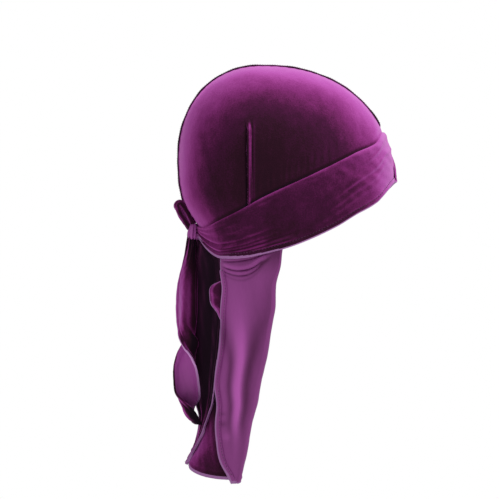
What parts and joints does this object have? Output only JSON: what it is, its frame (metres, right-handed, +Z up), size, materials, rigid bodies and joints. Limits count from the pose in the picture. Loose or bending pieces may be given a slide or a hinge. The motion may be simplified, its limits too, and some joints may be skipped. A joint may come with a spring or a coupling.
{
  "type": "durag",
  "caption": "Velvet durag in its worn shape: close crown with an outside centre seam, wide forehead straps tied at the nape, hanging strap tails and a long neck flap.",
  "frame": {"origin": "middle of the head opening, where the head sits", "axes": "+X is the wearer's front, +Y the wearer's left, +Z up along the hanging flap"},
  "size_m": [0.2148, 0.1565, 0.3947],
  "materials": {
    "velvet": "deep purple velvet pile, dark face on and bright orchid at grazing angles",
    "reverse": "smooth matt satin-like reverse of the velvet, lilac purple",
    "seam": "overlocked dark purple seam allowance with stitching"
  },
  "bodies": {
    "root": {"crown_panel_right": "velvet", "crown_panel_left": "velvet", "centre_seam": "seam", "strap_right": "velvet", "strap_left": "velvet", "knot": "reverse", "knot_loop": "velvet", "tail_outer": "velvet", "tail_inner": "velvet", "neck_flap": "reverse"}
  },
  "joints": []
}
